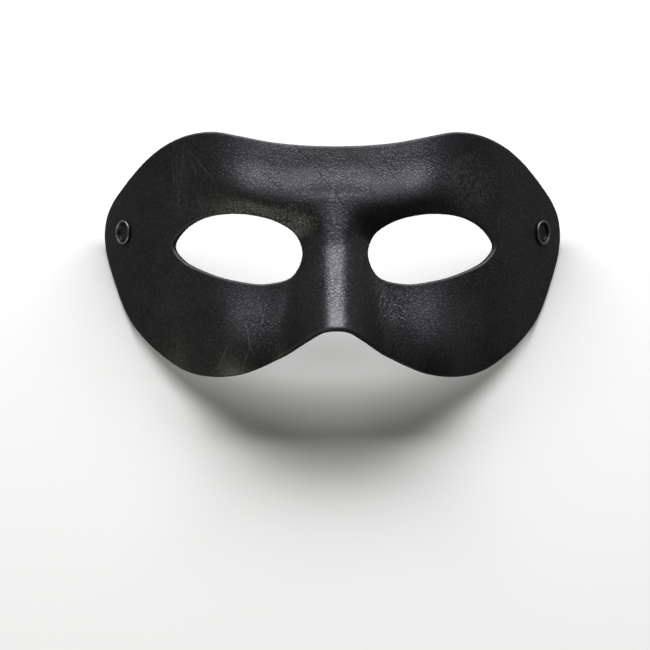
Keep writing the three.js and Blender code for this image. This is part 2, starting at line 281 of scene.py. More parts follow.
@dataclass(frozen=True)
class Outline:
    """The mask's edge in the flat leather, as shares of its span, rise and drop."""

    half_span: float = 0.1090
    brow_rise: float = 0.0434
    brow_dip: float = 0.0058
    cheek_drop: float = 0.0475
    arch_rise: float = 0.0180
    steps: int = 24
    rows: tuple[tuple[float, float, float], ...] = (
        (0.000, 1.000, 1.00), (0.110, 1.000, 0.93), (0.220, 1.000, 0.71), (0.330, 1.000, 0.31),
        (0.431, 1.000, 0.00), (0.532, 0.979, 0.00), (0.633, 0.901, 0.00), (0.720, 0.790, 0.00),
        (0.796, 0.667, 0.00), (0.870, 0.540, 0.00), (0.934, 0.425, 0.00), (0.982, 0.295, 0.00),
        (1.000, 0.145, 0.00), (0.985, -0.011, 0.00), (0.948, -0.154, 0.00), (0.908, -0.288, 0.00),
        (0.867, -0.425, 0.00), (0.812, -0.568, 0.00), (0.739, -0.703, 0.00), (0.658, -0.827, 0.00),
        (0.546, -0.958, 0.00), (0.417, -1.000, 0.00), (0.303, -1.000, 0.055), (0.220, -1.000, 0.25),
        (0.142, -1.000, 0.55), (0.086, -1.000, 0.77), (0.041, -1.000, 0.95), (0.000, -1.000, 1.00),
    )

    @property
    def crown_up(self) -> float:
        """Height of the nose arch's crown above the eye line."""
        return self.arch_rise - self.cheek_drop

    def half_rim(self, count: int) -> Array:
        """Half of the rim, from the middle of the brow to the middle of the arch, at equal steps.

        Each row gives a share of the half span, a share of the rise or drop, and the share of the dip or arch
        by which the edge steps back.

        Args:
            count: Points wanted.

        Returns:
            Points (side, up).
        """
        rows = np.array(self.rows)
        above = rows[:, 1] > 0.0
        height = np.where(
            above,
            rows[:, 1] * self.brow_rise - rows[:, 2] * self.brow_dip,
            rows[:, 1] * self.cheek_drop + rows[:, 2] * self.arch_rise,
        )
        half = np.stack([rows[:, 0] * self.half_span, height], axis=1)
        mirrored = half[-2:0:-1] * np.array([-1.0, 1.0])
        curve = smooth_loop(np.vstack([half, mirrored]), self.steps)[: self.steps * (len(half) - 1) + 1]
        return spaced(curve, count)


@dataclass(frozen=True)
class EyeOpening:
    """The almond opening for an eye, as shares of its length, rise and drop."""

    inner: float = 0.0116
    length: float = 0.0533
    rise: float = 0.0125
    drop: float = 0.0130
    steps: int = 40
    rows: tuple[tuple[float, float], ...] = (
        (0.01, -0.20), (0.055, 0.36), (0.18, 0.74), (0.36, 0.95), (0.56, 1.00), (0.76, 0.89), (0.92, 0.54),
        (1.00, 0.09), (0.92, -0.31), (0.71, -0.68), (0.45, -0.93), (0.255, -1.00), (0.08, -0.79),
    )

    @property
    def middle(self) -> float:
        """Distance of the opening's middle from the middle line."""
        return self.inner + self.length / 2.0

    def edge_towards(self, outer: Array) -> Array:
        """Edge points on the rays from the opening's middle to the outer points, interpolated over the angle.

        Args:
            outer: Outer points (side, up).

        Returns:
            Edge points (side, up), one for each outer point.
        """
        rows = np.array(self.rows)
        height = rows[:, 1] * np.where(rows[:, 1] > 0.0, self.rise, self.drop)
        corners = np.stack([self.inner + rows[:, 0] * self.length, height], axis=1)
        centre = np.array([self.middle, 0.0])
        edge = smooth_loop(corners, self.steps) - centre
        angle = np.arctan2(edge[:, 1], edge[:, 0])
        order = np.argsort(angle)
        reach = np.linalg.norm(edge, axis=1)
        ray = outer - centre
        target = np.arctan2(ray[:, 1], ray[:, 0])
        length = np.interp(target, angle[order], reach[order], period=2.0 * np.pi)
        return centre + length[:, None] * np.stack([np.cos(target), np.sin(target)], axis=1)


class Face(Enum):
    """Material places on the shell."""

    FRONT = 0
    EDGE = 1
    BACK = 2


@dataclass
class GridMesh:
    """Vertices and four-sided faces that grow row by row, each vertex with its place in the flat leather."""

    points: list[Array] = field(default_factory=list)
    flat: list[Array] = field(default_factory=list)
    quads: list[Array] = field(default_factory=list)
    places: list[Array] = field(default_factory=list)
    count: int = 0

    def row(self, points: Array, flat: Array) -> Array:
        """Adds a row of points.

        Args:
            points: Places in the wearer's frame.
            flat: The same points in the flat leather.

        Returns:
            Numbers of the new vertices.
        """
        numbers = np.arange(self.count, self.count + len(points))
        self.points.append(points)
        self.flat.append(flat)
        self.count += len(points)
        return numbers

    def strip(self, first: Array, second: Array, closed: bool, face: Face) -> None:
        """Adds the four-sided faces between two rows of equal length.

        Args:
            first: Vertex numbers of one row.
            second: Vertex numbers of the other row.
            closed: Whether the rows meet themselves.
            face: The material's place.
        """
        a, b = (first, second) if closed else (first[:-1], second[:-1])
        c, d = (np.roll(second, -1), np.roll(first, -1)) if closed else (second[1:], first[1:])
        self.quads.append(np.stack([a, d, c, b], axis=1))
        self.places.append(np.full(len(a), face.value))


@dataclass(frozen=True)
class Crease:
    """A crease in the flat leather, in millimetres and degrees, or a ridge if its strength is below 0."""

    side: float
    up: float
    angle: float
    length: float
    width: float = 0.45
    strength: float = 1.0


@dataclass(frozen=True)
class Patch:
    """A worn patch of the flat leather: its middle, its half sizes in millimetres and how strong it is."""

    side: float
    up: float
    wide: float
    high: float
    strength: float = 1.0


@dataclass(frozen=True)
class LeatherWear:
    """Where handling and moulding have crackled, wrinkled and creased the leather.

    A patch is at full strength up to its core, a share of its half sizes, and fades over the next share. A
    crease keeps its strength up to half its reach aside, and fades over the last quarter at each end.
    """

    patch_core: float = 0.3
    patch_fade: float = 0.9
    crease_reach: float = 2.0
    crease_fade: float = 0.25
    crackled: tuple[Patch, ...] = (
        Patch(-18.0, 33.0, 11.0, 6.0, 0.8), Patch(-24.0, 24.5, 8.0, 6.0, 0.7),
        Patch(20.0, 31.0, 11.0, 8.0), Patch(3.0, 24.0, 8.0, 8.0, 0.35),
        Patch(27.0, -33.0, 12.0, 7.0, 0.6), Patch(46.0, -18.0, 7.0, 6.0, 0.5),
        Patch(0.5, 10.0, 9.0, 12.0, 0.9), Patch(0.0, -14.0, 7.0, 16.0, 0.8),
        Patch(-13.0, 11.0, 9.0, 8.0), Patch(-27.0, 13.5, 14.0, 6.0, 0.8),
        Patch(-41.0, 13.5, 12.0, 6.0, 0.8), Patch(38.0, 34.0, 10.0, 5.0, 0.5),
        Patch(-42.0, 32.0, 10.0, 6.0, 0.4),
    )
    wrinkled: tuple[Patch, ...] = (
        Patch(19.0, -21.0, 8.0, 11.0, 0.75), Patch(-27.0, -29.0, 10.0, 16.0, 0.65),
        Patch(52.0, 25.0, 15.0, 14.0), Patch(-61.0, 22.0, 7.0, 20.0, 0.5),
        Patch(-73.0, -6.0, 6.0, 14.0, 0.4), Patch(-52.0, 16.0, 6.0, 9.0, 0.5),
        Patch(68.0, 6.0, 12.0, 24.0, 0.35), Patch(14.0, -12.0, 5.0, 8.0, 0.6),
        Patch(-13.0, 12.0, 9.0, 7.0, 0.6), Patch(-27.0, 14.5, 13.0, 4.5, 0.5),
        Patch(-41.0, 14.5, 12.0, 4.5, 0.5), Patch(26.0, -21.0, 11.0, 10.0, 0.5),
    )
    creases: tuple[tuple[Crease, ...], ...] = (
        (
            Crease(-11.0, 33.3, -44.0, 9.0), Crease(-3.5, 24.5, -51.0, 19.0), Crease(1.5, 17.0, -57.0, 9.0),
            Crease(-22.0, 23.8, -43.0, 14.0, 0.40, 0.8), Crease(10.0, 27.0, -51.0, 8.0, 0.40, 0.5),
            Crease(21.3, 26.5, -58.0, 9.0, 0.40, 0.8), Crease(-62.6, 25.0, 93.0, 32.0, 0.40, -1.0),
            Crease(-51.5, 31.0, -46.0, 24.0, 0.40, -1.2), Crease(-52.3, 17.0, -64.0, 9.0, 0.40, -1.2),
            Crease(21.5, -33.5, 91.0, 16.0, 0.40, -0.9), Crease(-29.8, -34.6, 107.0, 14.0, 0.45, -1.4),
            Crease(15.0, -24.0, 74.0, 14.0, 0.50, -0.5), Crease(-73.5, -5.0, 92.0, 14.0, 0.30, -0.5),
            Crease(33.0, -31.5, 2.0, 10.0, 0.45, -0.6),
        ),
        (
            Crease(4.0, 26.5, 52.0, 8.0, 0.40, 0.5), Crease(-60.3, 30.0, 86.0, 20.0, 0.35, -1.0),
            Crease(-55.5, 31.5, -63.0, 16.0, 0.35, -1.0), Crease(-31.0, -40.0, 72.0, 10.0, 0.45, -1.4),
            Crease(-24.9, -22.7, 78.0, 15.0, 0.45, -1.1), Crease(24.0, -18.5, 52.0, 9.0, 0.45, -0.4),
            Crease(-39.9, -40.0, 62.0, 13.0, 0.45, -1.2), Crease(56.5, 20.0, -48.0, 11.0, 0.45, -0.6),
            Crease(-65.0, 31.0, 96.0, 15.0, 0.35, -0.9),
        ),
    )

    def worn(self, flat: Array, patches: tuple[Patch, ...]) -> Array:
        """How worn each place is: a smooth step down from the middle of each patch, added and held at 1.

        Args:
            flat: Points (side, up) in millimetres.
            patches: The patches.

        Returns:
            Shares from 0 to 1.
        """
        total = np.zeros(len(flat))
        for patch in patches:
            away = np.hypot((flat[:, 0] - patch.side) / patch.wide, (flat[:, 1] - patch.up) / patch.high)
            total += patch.strength * (1.0 - ease((away - self.patch_core) / self.patch_fade))
        return np.minimum(total, 1.0)

    def nearest(self, flat: Array, creases: tuple[Crease, ...]) -> Array:
        """Distance to the nearest crease's line, its width and its strength, faded at its ends and aside.

        Args:
            flat: Points (side, up) in millimetres.
            creases: Creases that don't cross each other.

        Returns:
            One row (distance with its sign, width, strength) for each point.
        """
        found = np.zeros((len(flat), 3))
        least = np.full(len(flat), np.inf)
        for crease in creases:
            angle = math.radians(crease.angle)
            shift = flat - (crease.side, crease.up)
            along = shift @ (math.cos(angle), math.sin(angle))
            off = shift @ (-math.sin(angle), math.cos(angle))
            past = np.maximum(0.0, np.abs(along) - crease.length / 2.0)
            ends = 1.0 - ease((np.abs(along) / crease.length - self.crease_fade) / self.crease_fade)
            aside = 1.0 - ease((np.abs(off) - self.crease_reach / 2.0) / (self.crease_reach / 2.0))
            nearer = np.hypot(off, past) < least
            least = np.where(nearer, np.hypot(off, past), least)
            row = np.stack([off, np.full(len(flat), crease.width), crease.strength * ends * aside], axis=1)
            found = np.where(nearer[:, None], row, found)
        return found

    def attributes(self, flat: Array) -> dict[str, Array]:
        """Everything that the leather's material reads off the mesh.

        Args:
            flat: Points (side, up) in metres.

        Returns:
            A name and one row of three numbers per point for each attribute.
        """
        flat = flat / MM
        worn = [self.worn(flat, patches) for patches in (self.crackled, self.wrinkled)]
        fields = {WEAR: np.stack([*worn, np.zeros(len(flat))], axis=1)}
        for name, creases in zip(CREASES, self.creases):
            fields[name] = self.nearest(flat, creases)
        return fields


@dataclass(frozen=True)
class Shell:
    """The moulded leather: a round wrap about the head with relief pressed into it."""

    face_radius: float = 0.0980
    wall: float = 0.0022
    front_rounding: float = 0.0007
    back_rounding: float = 0.0004
    normal_reach: float = 0.0006
    rim_points: int = 430
    middle_points: int = 110
    front_rings: int = 46
    back_rings: int = 14
    front_arc: int = 6
    back_arc: int = 4
    outline: Outline = Outline()
    eye: EyeOpening = EyeOpening()
    brow: BrowRidge = BrowRidge()
    nose: NoseBridge = NoseBridge()
    cheek: Cheek = Cheek()

    def relief(self, side: Array, up: Array) -> Array:
        """Height over the round wrap: the brow, the nose bridge and the cheeks added together.

        Args:
            side: Distances from the middle line, with their sign.
            up: Distances above the eye line.

        Returns:
            Heights.
        """
        reach = np.abs(side)
        foot = self.outline.crown_up
        bridge = self.nose.share(reach, up, foot)
        return (
            self.brow.relief(reach, up, bridge)
            + self.nose.relief(up, foot) * bridge
            + self.cheek.relief(reach, up, self.outline.cheek_drop)
        )

    def front(self, flat: Array) -> Array:
        """Front face: side is an arc on the face radius, and the relief adds to the radius.

        Args:
            flat: Points (side, up).

        Returns:
            Points in the wearer's frame.
        """
        side, up = flat[..., 0], flat[..., 1]
        radius = self.face_radius + self.relief(side, up)
        angle = side / self.face_radius
        return np.stack([radius * np.sin(angle), up, radius * np.cos(angle) - self.face_radius], axis=-1)

    def normal(self, flat: Array) -> Array:
        """Unit normals out of the face: the cross product of the steps across and up, over a short reach.

        Args:
            flat: Points (side, up).

        Returns:
            Unit vectors.
        """
        across = np.array([self.normal_reach, 0.0])
        along = np.array([0.0, self.normal_reach])
        a = self.front(flat + across) - self.front(flat - across)
        b = self.front(flat + along) - self.front(flat - along)
        n = np.cross(a, b)
        return n / np.linalg.norm(n, axis=-1, keepdims=True)

    def place(self, flat: Array, depth: Array | float) -> Array:
        """Points at a depth below the front face, along its normals."""
        return self.front(flat) - self.normal(flat) * np.asarray(depth)[..., None]

    def rim(self) -> tuple[Array, Array]:
        """The rim of one half, from the middle of the brow to the middle of the arch.

        Returns:
            Points (side, up) and unit vectors out of the leather.
        """
        rim = self.outline.half_rim(self.rim_points)
        rim[[0, -1], 0] = 0.0
        step = np.gradient(rim, axis=0)
        out = np.stack([-step[:, 1], step[:, 0]], axis=1)
        out[0], out[-1] = (0.0, 1.0), (0.0, -1.0)
        out = out / np.linalg.norm(out, axis=1, keepdims=True)
        return rim, out

    def half(self) -> GridMesh:
        """One half of the shell: rings from the eye's edge to the rim, front and back, and rounded edges.

        Returns:
            The half's mesh, open along the middle line.
        """
        mesh = GridMesh()
        rim, rim_out = self.rim()
        inside = rim - rim_out * self.front_rounding
        climb = np.linspace(inside[-1, 1], inside[0, 1], self.middle_points + 1)[1:-1]
        middle = np.stack([np.zeros_like(climb), climb], axis=1)
        outer = np.vstack([inside, middle])
        eye = self.eye.edge_towards(outer)
        turn = np.roll(eye, -1, axis=0) - np.roll(eye, 1, axis=0)
        eye_out = np.stack([-turn[:, 1], turn[:, 0]], axis=1)
        eye_out /= np.linalg.norm(eye_out, axis=1, keepdims=True)

        rim_rows = self.edge_rows(mesh, rim, -rim_out)
        eye_rows = self.edge_rows(mesh, eye, eye_out)
        section = self.section()
        last = len(section) - 1
        for k in range(last):
            mesh.strip(rim_rows[k], rim_rows[k + 1], False, Face.EDGE)
            mesh.strip(eye_rows[k + 1], eye_rows[k], True, Face.EDGE)
        for side_rings, row, depth, face in (
            (self.front_rings, 0, 0.0, Face.FRONT),
            (self.back_rings, last, self.wall, Face.BACK),
        ):
            start = eye + eye_out * section[row][0]
            edge = np.vstack([rim - rim_out * section[row][0], middle])
            previous = eye_rows[row]
            for ring in range(1, side_rings + 1):
                flat = start + (edge - start) * (ring / side_rings)
                if ring < side_rings:
                    current = mesh.row(self.place(flat, depth), flat)
                else:
                    line = flat[len(rim):]
                    current = np.concatenate([rim_rows[row], mesh.row(self.place(line, depth), line)])
                if face is Face.FRONT:
                    mesh.strip(previous, current, True, face)
                else:
                    mesh.strip(current, previous, True, face)
                previous = current
        return mesh

    def edge_rows(self, mesh: GridMesh, edge: Array, inwards: Array) -> list[Array]:
        """Rows along an edge, one for each point of its section.

        Args:
            mesh: The mesh that takes the rows.
            edge: The edge's points (side, up).
            inwards: Unit vectors from the edge into the leather.

        Returns:
            The rows' vertex numbers, from the front face to the back face.
        """
        rows = []
        for inset, depth in self.section():
            flat = edge + inwards * inset
            rows.append(mesh.row(self.place(flat, depth), flat))
        return rows

    def section(self) -> list[tuple[float, float]]:
        """Section through an edge as (inset, depth) pairs: a quarter circle at the front and one at the back.

        Returns:
            The pairs, from the front face to the back face.
        """
        front = [
            (self.front_rounding * (1.0 - math.sin(a)), self.front_rounding * (1.0 - math.cos(a)))
            for a in np.radians(np.linspace(0.0, 90.0, self.front_arc))
        ]
        back = [
            (self.back_rounding * (1.0 - math.cos(a)), self.wall - self.back_rounding * (1.0 - math.sin(a)))
            for a in np.radians(np.linspace(0.0, 90.0, self.back_arc))
        ]
        return front + back

    def build(self, name: str, seat: Matrix, wear: LeatherWear) -> bpy.types.Object:
        """Mirrors the half, joins both along the middle line and leans the shell back to where it rests.

        Args:
            name: Name of the object.
            seat: Turn and shift from the wearer's frame to the row frame.
            wear: The leather's wear.

        Returns:
            The shell.
        """
        half = self.half()
        points, flat = np.vstack(half.points), np.vstack(half.flat)
        quads, places = np.vstack(half.quads), np.concatenate(half.places)
        mirror3, mirror2 = np.array([-1.0, 1.0, 1.0]), np.array([-1.0, 1.0])
        count = len(points)
        points = np.vstack([points, points * mirror3])
        flat = np.vstack([flat, flat * mirror2])
        quads = np.vstack([quads, quads[:, ::-1] + count])
        places = np.concatenate([places, places])
        return leather_object(name, seated(points, seat), flat, quads, places, wear.attributes(flat))


def seated(points: Array, seat: Matrix) -> Array:
    """Points turned and shifted by a matrix, as whole arrays.

    Args:
        points: Points, one row each.
        seat: Turn and shift.

    Returns:
        The moved points.
    """
    m = np.array(seat)
    return points @ m[:3, :3].T + m[:3, 3]


def carry(mesh: bpy.types.Mesh, name: str, values: Array) -> None:
    """Stores a row of three numbers at each vertex, for a material to read.

    Args:
        mesh: The mesh.
        name: Name of the attribute.
        values: One row for each vertex.
    """
    attribute = mesh.attributes.new(name, "FLOAT_VECTOR", "POINT")
    attribute.data.foreach_set("vector", values.astype(np.float32).ravel())


def leather_object(
    name: str, points: Array, flat: Array, quads: Array, places: Array, fields: dict[str, Array]
) -> bpy.types.Object:
    """Makes a mesh object with the flat leather's coordinates as its UV map, and welds its seam.

    Args:
        name: Name of the object.
        points: Vertices.
        flat: Flat leather coordinates of the vertices, in metres.
        quads: Faces.
        places: Material place of each face.
        fields: Attributes of the vertices, by name.

    Returns:
        The object, shaded smooth.
    """
    mesh = bpy.data.meshes.new(name)
    mesh.from_pydata(points, [], quads)
    mesh.polygons.foreach_set("material_index", places.astype(np.int32))
    mesh.polygons.foreach_set("use_smooth", np.ones(len(quads), dtype=bool))
    uv = mesh.uv_layers.new(name=FLAT_LEATHER)
    corners = np.empty(len(mesh.loops), dtype=np.int32)
    mesh.loops.foreach_get("vertex_index", corners)
    uv.data.foreach_set("uv", (flat[corners] / FLAT_UNIT + 0.5).ravel())
    for key, values in fields.items():
        carry(mesh, key, values)
    obj = bpy.data.objects.new(name, mesh)
    bpy.context.scene.collection.objects.link(obj)
    weld = obj.modifiers.new("seam", "WELD")
    weld.merge_threshold = SEAM_REACH
    with bpy.context.temp_override(object=obj, active_object=obj):
        bpy.ops.object.modifier_apply(modifier=weld.name)
    return obj


@dataclass(frozen=True)
class Eyelet:
    """A rolled eyelet: a ring on the leather's front, a barrel through it and a flat collar behind."""

    side: float = 0.0927
    up: float = 0.0070
    bore_radius: float = 0.00275
    barrel_wall: float = 0.0005
    ring_radius: float = 0.0047
    ring_height: float = 0.0007
    collar_radius: float = 0.0044
    collar_thickness: float = 0.0006
    clearance: float = 0.0003
    soft: float = 0.00012
    crest_sharpness: int = 6
    turns: int = 120
    roll: tuple[tuple[float, float], ...] = (
        (1.00, 0.00), (1.01, 0.45), (0.93, 0.86), (0.80, 1.00),
        (0.64, 0.86), (0.42, 0.42), (0.16, -0.05), (0.00, -0.55),
    )
    roll_steps: int = 5

    def profile(self, wall: float) -> Array:
        """Half section as (radius, height) pairs: the roll over its crest, the throat, and the collar behind.

        Each row of the roll gives a share of the way from the bore out to the ring's radius and a share of
        the ring's height.

        Args:
            wall: Thickness of the leather.

        Returns:
            A closed profile that runs anticlockwise.
        """
        base = self.clearance
        rows = np.array(self.roll)
        corners = np.stack(
            [
                self.bore_radius + rows[:, 0] * (self.ring_radius - self.bore_radius),
                base + rows[:, 1] * self.ring_height,
            ],
            axis=1,
        )
        roll = smooth_loop(corners, self.roll_steps)[: self.roll_steps * (len(corners) - 1) + 1]
        collar_front = -wall - self.clearance
        collar_back = collar_front - self.collar_thickness
        barrel = self.bore_radius + self.barrel_wall
        soft = self.soft
        rest = np.array([
            (self.bore_radius, collar_back + soft),
            (self.bore_radius + soft, collar_back),
            (self.collar_radius - soft, collar_back),
            (self.collar_radius, collar_back + soft),
            (self.collar_radius, collar_front - soft),
            (self.collar_radius - soft, collar_front),
            (barrel, collar_front),
            (barrel, base),
            (self.ring_radius - soft, base),
        ])
        return np.vstack([roll, rest])

    def build(self, name: str, shell: Shell, hand: int, seat: Matrix) -> bpy.types.Object:
        """Turns the profile about the leather's normal, in its place on the shell.

        Args:
            name: Name of the object.
            shell: The leather that it sits in.
            hand: -1 for the viewer's left, 1 for the right.
            seat: Turn and shift from the wearer's frame to the row frame.

        Returns:
            The eyelet.
        """
        flat = np.array([hand * self.side, self.up])
        normal = Vector(shell.normal(flat))
        point = Vector(shell.front(flat))
        turn = Vector((0.0, 0.0, 1.0)).rotation_difference(normal).to_matrix().to_4x4()
        profile = self.profile(shell.wall)
        angle = np.linspace(0.0, 2.0 * np.pi, self.turns, endpoint=False)
        ring = np.stack([np.cos(angle), np.sin(angle)], axis=1)
        count = len(profile)
        grid = np.empty((self.turns, count, 3))
        grid[..., :2] = ring[:, None, :] * profile[None, :, :1]
        grid[..., 2] = profile[None, :, 1]
        points = seated(grid.reshape(-1, 3), seat @ Matrix.Translation(point) @ turn)
        numbers = np.arange(self.turns * count).reshape(self.turns, count)
        onwards = np.roll(numbers, -1, axis=0)
        corners = [numbers, onwards, np.roll(onwards, -1, axis=1), np.roll(numbers, -1, axis=1)]
        quads = np.stack(corners, axis=-1).reshape(-1, 4)
        mesh = bpy.data.meshes.new(name)
        mesh.from_pydata(points, [], quads)
        mesh.polygons.foreach_set("use_smooth", np.ones(len(quads), dtype=bool))
        crest = np.clip(profile[:, 1] / (self.clearance + self.ring_height), 0.0, 1.0) ** self.crest_sharpness
        carry(mesh, RUBBED, np.repeat(np.tile(crest, self.turns)[:, None], 3, axis=1))
        obj = bpy.data.objects.new(name, mesh)
        bpy.context.scene.collection.objects.link(obj)
        return obj


class NodeBench:
    """Adds and links nodes in one shader tree."""

    def __init__(self, tree: bpy.types.NodeTree) -> None:
        """Keeps the tree.

        Args:
            tree: A material's or a group's node tree.
        """
        self.tree = tree

    def add(self, kind: str, **inputs: object) -> bpy.types.Node:
        """Adds a node and fills its inputs by name, with a value or a link.

        Args:
            kind: Blender's name of the node type.
            **inputs: Values or sockets, with underscores for spaces in the inputs' names.

        Returns:
            The node.
        """
        node = self.tree.nodes.new(kind)
        for name, value in inputs.items():
            self.feed(node.inputs[name.replace("_", " ")], value)
        return node

    def feed(self, socket: Socket, value: object) -> None:
        """Links a socket or sets its value."""
        if isinstance(value, bpy.types.NodeSocket):
            self.tree.links.new(value, socket)
        else:
            socket.default_value = value

    def math(self, operation: str, first: object, second: object = 0.0, third: object = 0.0) -> Socket:
        """A Math node.

        Args:
            operation: Blender's name of the operation.
            first: Value or socket.
            second: Value or socket.
            third: Value or socket.

        Returns:
            Its result.
        """
        node = self.tree.nodes.new("ShaderNodeMath")
        node.operation = operation
        for socket, value in zip(node.inputs, (first, second, third)):
            self.feed(socket, value)
        return node.outputs[0]

    def vector(self, operation: str, first: object, second: object = (0.0, 0.0, 0.0)) -> bpy.types.Node:
        """A Vector Math node, returned whole because its outputs differ."""
        node = self.tree.nodes.new("ShaderNodeVectorMath")
        node.operation = operation
        self.feed(node.inputs[0], first)
        self.feed(node.inputs[1], second)
        return node

    def ramp(self, value: Socket, low: float, high: float, start: float = 0.0, end: float = 1.0) -> Socket:
        """A smooth Map Range from low..high to start..end."""
        node = self.add("ShaderNodeMapRange", Value=value, From_Min=low, From_Max=high)
        self.feed(node.inputs["To Min"], start)
        self.feed(node.inputs["To Max"], end)
        node.interpolation_type = "SMOOTHSTEP"
        return node.outputs[0]

    def attribute(self, name: str) -> Socket:
        """The vector that the mesh carries under a name."""
        node = self.tree.nodes.new("ShaderNodeAttribute")
        node.attribute_name = name
        return node.outputs["Vector"]

    def noise(self, vector: Socket, scale: float, detail: float = 2.0, roughness: float = 0.5) -> Socket:
        """The value of a noise texture, from 0 to 1."""
        node = self.add("ShaderNodeTexNoise", Vector=vector, Scale=scale, Detail=detail, Roughness=roughness)
        return node.outputs[0]

    def bump(self, shader: bpy.types.Node, height: Socket) -> None:
        """Turns a height in metres into the shader's normal."""
        node = self.add("ShaderNodeBump", Strength=1.0, Distance=1.0, Height=height)
        self.feed(shader.inputs["Normal"], node.outputs[0])

    def group(self, name: str, **inputs: object) -> bpy.types.Node:
        """Adds one of the shared groups and fills its inputs by name.

        Args:
            name: Name of the group.
            **inputs: Values or sockets.

        Returns:
            The group's node.
        """
        node = self.tree.nodes.new("ShaderNodeGroup")
        node.node_tree = bpy.data.node_groups[name]
        for key, value in inputs.items():
            self.feed(node.inputs[key], value)
        return node

    def mix_colour(self, share: Socket, first: Colour | Socket, second: Colour | Socket) -> Socket:
        """A colour between two others, each of them three numbers or a socket."""
        node = self.tree.nodes.new("ShaderNodeMix")
        node.data_type = "RGBA"
        self.feed(node.inputs[0], share)
        for socket, colour in zip(node.inputs[6:8], (first, second)):
            self.feed(socket, colour if isinstance(colour, bpy.types.NodeSocket) else (*colour, 1.0))
        return node.outputs[2]


def new_group(
    name: str, inputs: dict[str, tuple[str, object]], outputs: dict[str, str]
) -> bpy.types.NodeTree:
    """Makes a shader node group with named sockets.

    Args:
        name: Name of the group.
        inputs: Socket type and value of each input.
        outputs: Socket type of each output.

    Returns:
        The group, with its input and output nodes in place.
    """
    group = bpy.data.node_groups.new(name, "ShaderNodeTree")
    for key, (kind, value) in inputs.items():
        socket = group.interface.new_socket(name=key, in_out="INPUT", socket_type=kind)
        if value is not None:
            socket.default_value = value
    for key, kind in outputs.items():
        group.interface.new_socket(name=key, in_out="OUTPUT", socket_type=kind)
    group.nodes.new("NodeGroupInput")
    group.nodes.new("NodeGroupOutput")
    return group


FLOAT = "NodeSocketFloat"
VECTOR = "NodeSocketVector"


def pebble_group() -> bpy.types.NodeTree:
    """Leather grain: warped domes of uneven height with valleys between them, measured along the surface.

    Returns:
        A group with Vector, Cell (a dome's width), Stretch, Valley (a share of the cell) and Warp in, and
        Height and Low (1 in the valleys) out.
    """
    warp_scale, warp_detail = 0.7, 3.0
    dome_scale, dome_spread, least_dome = 1.3, 0.9, 0.4
    group = new_group(
        PEBBLE_GROUP,
        {
            "Vector": (VECTOR, None), "Cell": (FLOAT, 0.001), "Stretch": (FLOAT, 1.0),
            "Valley": (FLOAT, 0.4), "Warp": (FLOAT, 0.4),
        },
        {"Height": FLOAT, "Low": FLOAT},
    )
    bench = NodeBench(group)
    given = group.nodes["Group Input"].outputs
    per_metre = bench.math("DIVIDE", 1.0, given["Cell"])
    along = bench.math("DIVIDE", per_metre, given["Stretch"])
    scale = bench.add("ShaderNodeCombineXYZ", X=per_metre, Y=along, Z=per_metre)
    cells = bench.vector("MULTIPLY", given["Vector"], scale.outputs[0]).outputs[0]
    push = bench.add("ShaderNodeTexNoise", Vector=cells, Scale=warp_scale, Detail=warp_detail, Roughness=0.5)
    centred = bench.vector("SUBTRACT", push.outputs["Color"], (0.5, 0.5, 0.5))
    shifted = bench.vector("SCALE", centred.outputs[0])
    bench.feed(shifted.inputs["Scale"], given["Warp"])
    warped = bench.vector("ADD", cells, shifted.outputs[0]).outputs[0]
    voronoi = bench.add("ShaderNodeTexVoronoi", Vector=warped, Scale=1.0)
    voronoi.feature = "DISTANCE_TO_EDGE"
    dome = bench.ramp(voronoi.outputs["Distance"], 0.0, given["Valley"])
    uneven = bench.math("MULTIPLY_ADD", bench.noise(cells, dome_scale), dome_spread, least_dome)
    bench.feed(group.nodes["Group Output"].inputs["Height"], bench.math("MULTIPLY", dome, uneven))
    bench.feed(group.nodes["Group Output"].inputs["Low"], bench.math("SUBTRACT", 1.0, dome))
    return group


def crease_group() -> bpy.types.NodeTree:
    """Creases: narrow valleys where the distance from a crease's line, pushed by noise, is below its width.

    Returns:
        A group with Flat, Crease (distance and width in millimetres, and strength) and Waver in, and Depth
        out.
    """
    waver_scale, least_width = 160.0, 0.1
    group = new_group(
        CREASE_GROUP,
        {"Flat": (VECTOR, None), "Crease": (VECTOR, None), "Waver": (FLOAT, 0.8)},
        {"Depth": FLOAT},
    )
    bench = NodeBench(group)
    given = group.nodes["Group Input"].outputs
    split = bench.add("ShaderNodeSeparateXYZ", Vector=given["Crease"]).outputs
    noise = bench.noise(given["Flat"], waver_scale)
    shift = bench.math("MULTIPLY", bench.math("SUBTRACT", noise, 0.5), given["Waver"])
    off = bench.math("ABSOLUTE", bench.math("ADD", split["X"], shift))
    width = bench.math("MAXIMUM", split["Y"], least_width)
    valley = bench.ramp(bench.math("DIVIDE", off, width), 0.0, 1.0, 1.0, 0.0)
    bench.feed(group.nodes["Group Output"].inputs["Depth"], bench.math("MULTIPLY", valley, split["Z"]))
    return group


def new_material(name: str) -> tuple[bpy.types.Material, NodeBench, bpy.types.Node]:
    """Makes a material with a Principled shader.

    Args:
        name: Name of the material.

    Returns:
        The material, a bench on its nodes and its shader.
    """
    material = bpy.data.materials.new(name)
    material.use_nodes = True
    return material, NodeBench(material.node_tree), material.node_tree.nodes["Principled BSDF"]


